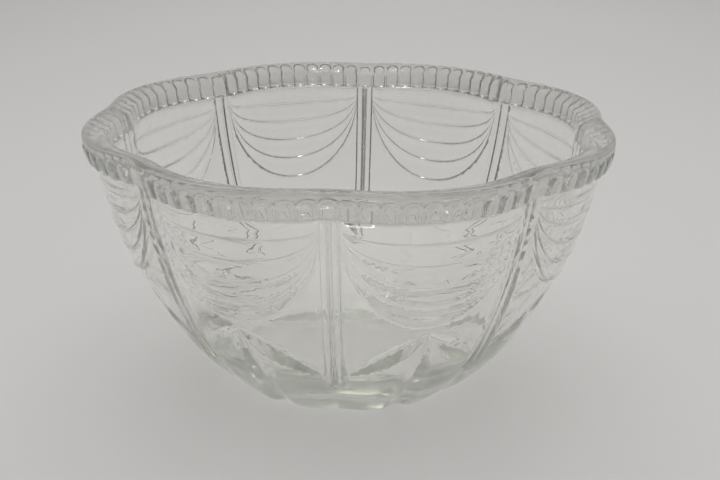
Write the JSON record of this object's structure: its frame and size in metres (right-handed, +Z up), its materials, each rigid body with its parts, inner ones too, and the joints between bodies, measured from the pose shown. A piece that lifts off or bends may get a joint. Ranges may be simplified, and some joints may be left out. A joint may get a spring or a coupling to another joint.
{
  "type": "punch bowl",
  "caption": "Clear pressed glass punch bowl with a lobed, beaded rim, draped swags, cut leaf fans and a flat base.",
  "frame": {"origin": "middle of the flat base, on the plane that the bowl rests on", "axes": "+Z up along the axis of the bowl; one joint between two lobes faces -Y"},
  "size_m": [0.241, 0.241, 0.128],
  "materials": {
    "clear_glass": "fire-polished pressed soda-lime glass, clear with a faint grey-green tint in the thick rim and base"
  },
  "bodies": {
    "root": {"glass_bowl": "clear_glass"}
  },
  "joints": []
}
